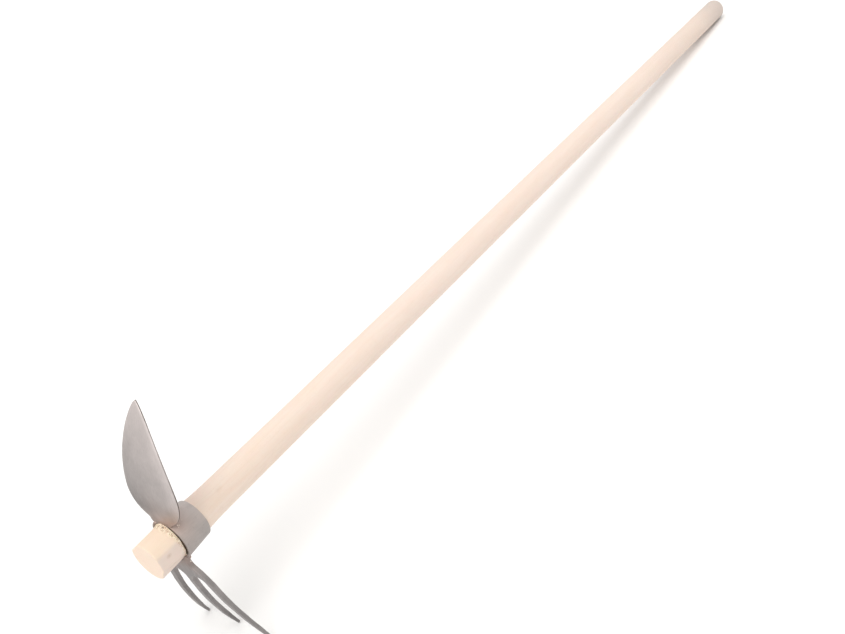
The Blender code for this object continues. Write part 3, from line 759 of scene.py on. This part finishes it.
def near_half_width(z):
    """Half width on the near side, which is ground back further towards the point."""
    half = leaf_half_width(z)
    return half - np.minimum(BLADE_NEAR_TRIM * ease((z - 30 * MM) / (80 * MM)), 0.35 * half)


def outline_distance(y, z):
    """Distance from each point to the free edge of the blade."""
    rows = ROOT_Z + (BLADE_TOP - ROOT_Z) * np.sin(np.linspace(0.0, 0.5 * math.pi, 500))
    far_edge, near_edge = columns(far_half_width(rows), rows), columns(-near_half_width(rows), rows)
    best = np.ones_like(y)
    for edge_y, edge_z in np.concatenate([far_edge, near_edge]):
        best = np.minimum(best, np.hypot(y - edge_y, z - edge_z))
    return best


def build_blade(material):
    foot_top = 32 * MM
    foot = np.linspace(0.0, 1.0, 30)
    levels = list(ROOT_Z + (foot_top - ROOT_Z) * foot)
    levels += list(np.linspace(foot_top, BLADE_WIDEST + 25 * MM, 46)[1:])
    rest = BLADE_TOP - levels[-1]
    levels += list(levels[-1] + rest * np.sin(np.linspace(0.0, 0.5 * math.pi, 64))[1:])
    inner = np.linspace(0.0, 1.0, 41)[1:-1]
    y_rows, z_rows = [], []
    for i, level in enumerate(levels):
        far_half = max(far_half_width(level), 0.03 * MM)
        near_half = max(near_half_width(level), 0.02 * MM)
        rim = BLADE_BAND * min(1.0, 0.8 * near_half / BLADE_BAND[-1])
        left = -near_half + rim
        right = far_half - rim[::-1]
        y = np.concatenate([left, left[-1] + (right[0] - left[-1]) * inner, right])
        z = np.full(len(y), level)
        if i < len(foot):
            # The foot follows the curve of the eye
            arc = np.sqrt(ROOT_RADIUS ** 2 - (y / far_half * ROOT_HALF) ** 2) - ROOT_Z
            z += (1.0 - foot[i]) ** 1.5 * arc
        y_rows.append(y)
        z_rows.append(z)
    y, z = np.array(y_rows), np.array(z_rows)
    away = outline_distance(y, z)
    away[:, 0] = away[:, -1] = away[-1] = 0.0
    full = BLADE_EDGE_THICKNESS + (BLADE_THICKNESS - BLADE_EDGE_THICKNESS) * ease(away / BLADE_BEVEL_WIDTH)
    half_depth = 0.5 * full * (1.0 - 0.45 * unit(1.0 - away / (0.22 * MM)) ** 3)
    middle = blade_middle_x(y, z)
    flat = columns(middle, y, z)
    inward = ease(away / (6 * MM))
    front_dents = 0.09 * MM * field(flat, 13, 41) + 0.03 * MM * field(flat, 5, 42)
    back_dents = 0.09 * MM * field(flat, 12, 43)
    front_x = middle - half_depth + front_dents * inward
    # The root covers the rim of the eye and dives into it at both sides
    flush = FLUSH_FRONT + 0.3 * MM * unit(np.abs(y) / ROOT_HALF) ** 4
    rise = np.hypot(y, z) - EYE_RIM_RADIUS - 0.2 * MM
    front_x = flush + (front_x - flush) * ease(rise / (6 * MM))
    front = columns(front_x, y, z)
    back = columns(middle + half_depth + back_dents * inward, y, z)
    rows, across = y.shape
    points = np.concatenate([front, back[:, ::-1]], axis=1).reshape(-1, 3)
    away = np.concatenate([away, away[:, ::-1]], axis=1).ravel()
    segments = 2 * across
    faces = skin_faces(rows, segments)
    for start in (0, (rows - 1) * segments):
        for j in range(across - 1):
            faces.append((start + j, start + j + 1, start + segments - j - 2, start + segments - j - 1))
    side, height = points[:, 1], points[:, 2]
    ground = np.exp(-(away / (1.6 * MM)) ** 2) * ease((height - 55 * MM) / (40 * MM))
    ground *= ease(0.5 - side / (8 * MM)) * (1.0 - 0.25 * ease((height - 96 * MM) / (14 * MM)))
    heat = np.exp(-np.maximum(np.hypot(side, height) - 20 * MM, 0.0) / (14 * MM))
    # Painted light and shade: brighter on the near side and towards the point, duller on the far side
    worn = 0.759 - 0.127 * side / BLADE_HALF_WIDTH + 0.27 * (height - 62 * MM) / (60 * MM)
    # Painted shade on the far side of a slanting crease line and low down on the far side, painted light at
    # the foot
    crease = -15.5 * MM - 0.36 * np.clip(85 * MM - height, 0.0, 31 * MM)
    fading = 1.0 - 0.42 * ease((height - 85 * MM) / (22 * MM))
    worn -= 0.15 * fading * ease(0.5 + (side - crease) / (16 * MM))
    worn -= 0.12 * ease((60 * MM - height) / (30 * MM)) * ease((side + 5 * MM) / (15 * MM))
    worn += 0.16 * ease((36 * MM - height) / (14 * MM))
    # Scale and painted shade on the sheared edge, weaker between the foot and the point
    soot = 0.56 + 0.38 * ease((66 * MM - height) / (20 * MM)) + 0.4 * ease((height - 100 * MM) / (14 * MM))
    soot *= (away < 0.005 * MM) * ease((height - 17 * MM) / (3 * MM))
    blade = make_piece("leaf_plate", points, faces, material, "blade_steel", 32,
                       ground=ground, weld_heat=heat, worn=worn, soot=soot)
    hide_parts("leaf_blade")


# Fork

def bezier(a, b, c, d, steps):
    t = np.linspace(0.0, 1.0, steps + 1)[:, None]
    s = 1.0 - t
    return s ** 3 * a + 3 * s * s * t * b + 3 * s * t * t * c + t ** 3 * d


def outer_tine_spread(depth):
    run = (depth - TINE_SHOULDER_DEPTH) / (TINE_STRAIGHTEN_DEPTH - TINE_SHOULDER_DEPTH)
    past = unit((run - TINE_BEND_START) / TINE_BEND_LENGTH)
    bent = TINE_BEND_START + TINE_BEND_LENGTH * (past - 0.5 * past * past)
    run = np.where(run > TINE_BEND_START, bent, run)
    return TINE_SHOULDER_SPREAD + (TINE_TIP_SPREAD - TINE_SHOULDER_SPREAD) * run


def tip_rounding(depth, reach, length):
    """Factor that closes the end of a tine: 1 along it and near 0 at its very tip."""
    past = unit(1.0 - (reach - depth) / length)
    return np.sqrt(1.0 - 0.98 * past * past)


def tine_half_width(depth, reach):
    run = unit((reach - depth) / TINE_POINT_LENGTH)
    share = np.sin(0.5 * math.pi * run) ** TINE_POINT_POWER
    half = TINE_POINT_HALF_WIDTH + (TINE_HALF_WIDTH - TINE_POINT_HALF_WIDTH) * share
    return half * tip_rounding(depth, reach, TINE_TIP_WIDTH_ROUND)


def half_fork_outline(crotch_depth):
    """Outline of one half as spread and depth, from the neck round to the tip of the middle tine."""
    neck_end = np.array([FORK_NECK_HALF_WIDTH, FORK_NECK_DEPTH])
    shoulder = np.array([TINE_SHOULDER_SPREAD + TINE_HALF_WIDTH, TINE_SHOULDER_DEPTH])
    run = shoulder - neck_end
    pulls = neck_end + FORK_NECK_PULL * run, shoulder - FORK_SHOULDER_PULL * run
    outline = [np.array([(FORK_NECK_HALF_WIDTH, FORK_ROOT_DEPTH)])]
    outline.append(bezier(neck_end, *pulls, shoulder, 24))
    steps = 1.0 - (1.0 - np.linspace(0.0, 1.0, 61)[1:]) ** 2
    down = TINE_SHOULDER_DEPTH + (TINE_REACH - TINE_SHOULDER_DEPTH) * steps
    spread, half = outer_tine_spread(down), tine_half_width(down, TINE_REACH)
    outline += [columns(spread + half, down), columns(spread - half, down)[::-1]]
    arch_middle = 0.5 * TINE_SHOULDER_SPREAD
    turn = np.linspace(0.0, math.pi, 33)
    arch = TINE_SHOULDER_DEPTH - (TINE_SHOULDER_DEPTH - crotch_depth) * np.sin(turn)
    outline.append(columns(arch_middle + (arch_middle - TINE_HALF_WIDTH) * np.cos(turn), arch))
    reach = TINE_REACH - MIDDLE_TINE_SHORTFALL
    down = TINE_SHOULDER_DEPTH + (reach - TINE_SHOULDER_DEPTH) * steps
    outline.append(columns(tine_half_width(down, reach), down))
    return np.concatenate(outline)


def fork_body_thickness(depth):
    share = np.maximum(0.0, (depth - NEAR_CROTCH_DEPTH) / (TINE_REACH - NEAR_CROTCH_DEPTH))
    return FORK_THICKNESS + (TINE_END_THICKNESS - FORK_THICKNESS) * share


def fork_front_x(depth):
    middle = sweep_offset(depth - FORK_SWEEP_START, FORK_SWEEP_RADIUS) - FORK_SETBACK
    return middle - 0.5 * fork_body_thickness(depth)


def fork_back_x(depth, reach=TINE_REACH):
    run = ease((reach - depth) / TINE_POINT_LENGTH)
    thickness = TINE_POINT_THICKNESS + (fork_body_thickness(depth) - TINE_POINT_THICKNESS) * run
    return fork_front_x(depth) + thickness * tip_rounding(depth, reach, TINE_TIP_BACK_ROUND)


def build_fork(material):
    """Flat outline raised to a thick plate, bent and thinned, then melted to forged roundings."""
    far_half = half_fork_outline(FAR_CROTCH_DEPTH)
    near_half = half_fork_outline(NEAR_CROTCH_DEPTH)[::-1] * (-1, 1)
    outline = np.concatenate([far_half, near_half])
    work = bmesh.new()
    face = work.faces.new([work.verts.new((0.0, y, -z)) for y, z in outline])
    raised = bmesh.ops.extrude_face_region(work, geom=[face])
    back_verts = [item for item in raised["geom"] if isinstance(item, bmesh.types.BMVert)]
    bmesh.ops.translate(work, verts=back_verts, vec=(1.0, 0.0, 0.0))
    for level in FORK_ROOT_DEPTH + (TINE_REACH - FORK_ROOT_DEPTH) * np.linspace(0.0, 1.0, 120)[1:-1] ** 0.6:
        geometry = [*work.verts, *work.edges, *work.faces]
        bmesh.ops.bisect_plane(work, geom=geometry, dist=1e-7, plane_co=(0, 0, -level), plane_no=(0, 0, 1))
    for vert in work.verts:
        on_middle = abs(vert.co.y) < 0.5 * TINE_SHOULDER_SPREAD
        reach = TINE_REACH - MIDDLE_TINE_SHORTFALL * on_middle
        depth = min(-vert.co.z, reach)
        vert.co.x = float(fork_back_x(depth, reach) if vert.co.x > 0.5 else fork_front_x(depth))
        vert.co.x -= TINE_TIP_FORWARD * float(ease((depth - 80 * MM) / (40 * MM))) * (not on_middle)
    bmesh.ops.recalc_face_normals(work, faces=work.faces)
    mesh = bpy.data.meshes.new("fork_plate")
    work.to_mesh(mesh)
    work.free()
    rough = add_object("fork_plate", mesh)
    melt = rough.modifiers.new("melt", "REMESH")
    melt.mode = "VOXEL"
    melt.voxel_size = FORK_VOXEL
    smooth = rough.modifiers.new("smooth", "SMOOTH")
    smooth.factor = 0.5
    smooth.iterations = FORK_SMOOTHINGS
    bpy.context.view_layer.update()
    melted = rough.evaluated_get(bpy.context.evaluated_depsgraph_get()).to_mesh()
    points, normals = np.zeros((2, len(melted.vertices), 3))
    melted.vertices.foreach_get("co", points.ravel())
    melted.vertices.foreach_get("normal", normals.ravel())
    faces = [tuple(polygon.vertices) for polygon in melted.polygons]
    bpy.data.objects.remove(rough)
    # Hammered unevenness, and the root drawn up into the eye's curve
    depth = -points[:, 2]
    steady = ease((TINE_REACH - depth) / (14 * MM))
    dents = (0.13 * MM * field(points, (9, 9, 11), 51)
             + 0.05 * MM * field(points, 4, 52)) * (0.25 + 0.75 * steady)
    points = points + normals * (dents - 0.06 * MM)[:, None]
    side = points[:, 1]
    lift_end = FORK_NECK_DEPTH + 4 * MM
    lift = ease((lift_end - depth) / (lift_end - FORK_ROOT_DEPTH))
    across = np.minimum(np.abs(side), FORK_NECK_HALF_WIDTH)
    seat_radius = FORK_ROOT_DEPTH - 1.5 * MM * ease((-side - 6 * MM) / (5 * MM))
    points[:, 2] += lift * (FORK_ROOT_DEPTH - np.sqrt(seat_radius ** 2 - across ** 2))
    side *= 1.0 + 0.05 * lift ** 2
    heat = np.exp(-np.maximum(depth - 20 * MM, 0.0) / (7 * MM))
    # Painted light and shade: a little darker towards the far side, and painted light on the near flank,
    # which faces -Y, at the shoulder and the root
    flank = ease(0.2 - 1.2 * normals[:, 1])
    worn = 1.0 - 0.06 * side / (40 * MM)
    worn += flank * (0.2 * ease((66 * MM - depth) / (22 * MM)) + 0.14 * ease((31 * MM - depth) / (6 * MM)))
    # Lower down, the middle tine is painted darker and the far one brighter
    low = ease((depth - 85 * MM) / (15 * MM))
    worn -= 0.2 * low * (np.abs(side) < 10 * MM)
    worn += (0.1 * low - 0.03) * (side > 20 * MM)
    fork = make_piece("fork_forging", points, faces, material, "fork_steel", 70, weld_heat=heat, worn=worn)
    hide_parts("tine_fork")


# Welds

def build_weld(name, node, material, half_width, back_of_plate, side):
    """Bead behind the root of a plate, with curved ripples."""
    end_angle = math.asin(half_width / EYE_RIM_RADIUS)
    steps, across = 13 * WELD_RIPPLES, 16
    radius = EYE_RIM_RADIUS + WELD_LEG
    points = []
    for share in np.linspace(-1.0, 1.0, steps + 1):
        angle = end_angle * share
        ends = 0.3 + 0.7 * math.sqrt(1.0 - abs(share) ** 5)
        back_x = back_of_plate(radius * math.sin(angle), radius * math.cos(angle))
        base = eye_outer_radius(back_x) - 0.45 * MM
        section = [(back_x - 0.2 * MM, base)]
        for turn in np.linspace(0.0, 0.5 * math.pi, across + 1):
            # Largest halfway between the eye and the plate
            bulge = max(0.0, math.sin(2 * turn))
            phase = share * WELD_RIPPLES + 0.42 * math.cos(2 * turn)
            trough = 1.0 - 2.0 * abs(phase % 1.0 - 0.5)
            leg = (WELD_LEG + 0.05 * MM) * ends * (1.0 + 0.1 * bulge)
            leg -= WELD_RIPPLE_DEPTH * trough ** 2 * bulge ** 0.5
            section.append((back_x - 0.15 * MM + leg * math.sin(turn), base + leg * math.cos(turn)))
        points += [(x, r * math.sin(angle), side * r * math.cos(angle)) for x, r in section]
    faces = skin_faces(steps + 1, across + 2, caps=True)
    plain = np.ones(len(points))
    weld = make_piece(name, points, faces, material, "weld_steel", 55,
                      weld_heat=WELD_HEAT * plain, worn=plain)
    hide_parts(node)


def build_spatter(material):
    """Beads of weld metal thrown on the eye and the roots of the plates, painted bright as highlights."""
    chance = random.Random(12)
    # Centre and size of each bead, those of the photo first
    beads = []
    for x, degrees, size in ((5.7, 49.5, 0.8), (6.9, 47, 0.5), (5.0, 45, 0.48)):
        beads.append((on_round(x * MM, eye_outer_radius(x * MM), math.radians(degrees)), size * MM))
    beads.append((np.array([0.4, -12.0, -21.4]) * MM, 0.6 * MM))
    beads.append((np.array([-0.6, -12.0, -22.2]) * MM, 0.4 * MM))
    for _ in range(SPATTER_COUNT):
        x = chance.uniform(4, 15) * MM
        lean = chance.uniform(-42, 42)
        turn = math.radians((90 if chance.random() < 0.6 else -90) + lean)
        centre = on_round(x, eye_outer_radius(x) - 0.05 * MM, turn)
        beads.append((centre, chance.uniform(0.14, 0.34) * MM))
    points, faces = [], []
    rows, around = 6, 10
    for centre, size in beads:
        base = len(points)
        for row in range(1, rows):
            tall = math.pi * row / rows
            for turn in round_angles(around):
                flat = math.sin(tall)
                ball = np.array([flat * math.cos(turn), flat * math.sin(turn), math.cos(tall)])
                ball *= 1.0 + 0.22 * field(ball * 1.7 + centre * 900, 1000, 61)
                points.append(centre + size * ball)
        faces += skin_faces(rows - 1, around, base, caps=True)
    make_piece("weld_spatter", points, faces, material, "weld_steel", 80,
               worn=np.full(len(points), SPATTER_HIGHLIGHT))


# Room, light and camera

def build_floor():
    look = Look(bpy.data.materials.new("pale_floor"))
    look.place = look.add("ShaderNodeTexCoord").outputs["Object"]
    speckle = look.span(look.noise(4000), 0.3, 0.7)
    look.set("Base Color", look.mix(speckle, (0.965, 0.965, 0.962), (0.955, 0.955, 0.955)))
    look.set("Roughness", 0.8)
    look.set("Specular IOR Level", 0.1)
    mesh = bpy.data.meshes.new("floor")
    half = 20.0
    corners = [(-half, -half, 0), (half, -half, 0), (half, half, 0), (-half, half, 0)]
    mesh.from_pydata(corners, [], [(0, 1, 2, 3)])
    mesh.materials.append(look.owner)
    obj = add_object("floor", mesh)


def build_light():
    """Soft sky, bright overhead and dim at the horizon, and a broad sun."""
    sky = Look(bpy.data.worlds.new("studio"), "Background")
    bpy.context.scene.world = sky.owner
    direction = sky.add("ShaderNodeTexCoord").outputs["Generated"]
    facing = sky.vector("DOT_PRODUCT", direction, SKY_BRIGHTEST.normalized(), "Value")
    sky.set("Strength", sky.span(facing, -0.15, 0.95, 0.38, 0.88, smooth=True))
    sky.set("Color", (1.0, 0.995, 0.985, 1.0))
    data = bpy.data.lights.new("key", "SUN")
    data.energy = 1.62
    data.angle = math.radians(50)
    data.color = (1.0, 0.985, 0.96)
    key = add_object("key", data)
    key.rotation_euler = SUN_FROM.to_track_quat("Z", "Y").to_euler()


def build_camera():
    """Camera of the photo, fitted in the tool's frame."""
    right = Vector((0.56499, -0.76652, -0.30533)).normalized()
    up = Vector((0.56529, 0.09005, 0.81996)).normalized()
    back = right.cross(up).normalized()
    up = back.cross(right)
    pose = Matrix((right, up, back)).transposed().to_4x4()
    pose.translation = Vector((-277.26, -673.78, 491.78)) * MM
    data = bpy.data.cameras.new("photo_camera")
    data.sensor_width = 36.0
    data.lens = data.sensor_width * FOCAL_LENGTH_PIXELS / PHOTO_WIDTH_PIXELS
    data.clip_start, data.clip_end = 0.01, 60.0
    camera = add_object("photo_camera", data)
    camera.matrix_world = PLACE @ pose
    bpy.context.scene.camera = camera


wood = wood_look()
eye_steel = steel_look("forged_eye_steel",
                       (0.46, 0.419, 0.406), (0.387, 0.366, 0.357), (0.448, 0.39, 0.362),
                       roughness=0.5, metallic=0.5, grind_size=(9, 1.1, 1.1), patch=14, pitting=0.35)
blade_steel = steel_look("ground_blade_steel",
                         (0.74, 0.672, 0.655), (0.655, 0.596, 0.58), (0.71, 0.64, 0.618), roughness=0.44,
                         metallic=0.7, grind_size=(1.2, 1.2, 26), patch=18, pitting=0.25, grind_turn=12)
fork_steel = steel_look("forged_fork_steel",
                        (0.278, 0.259, 0.256), (0.238, 0.223, 0.221), (0.282, 0.253, 0.245),
                        roughness=0.48, metallic=0.6, grind_size=(1.3, 1.3, 12), patch=11, pitting=0.4)
weld_steel = steel_look("weld_metal",
                        (0.44, 0.4, 0.37), (0.34, 0.3, 0.275), (0.4, 0.335, 0.285),
                        roughness=0.38, metallic=0.8, grind_size=(2, 0.8, 2), patch=5, pitting=0.3)

build_handle(wood)
build_fibres(wood)
build_eye(eye_steel)
build_blade(blade_steel)
build_fork(fork_steel)
build_weld("blade_weld_bead", "blade_weld", weld_steel, MEET_HALF + BLADE_WELD_OVERRUN,
           lambda y, z: blade_middle_x(y, z) + 0.5 * BLADE_THICKNESS, 1)
build_weld("fork_weld_bead", "fork_weld", weld_steel, FORK_NECK_HALF_WIDTH + FORK_WELD_OVERRUN,
           lambda y, z: fork_back_x(z), -1)
build_spatter(weld_steel)

build_floor()
build_light()
build_camera()
bpy.context.scene.view_settings.view_transform = "Standard"
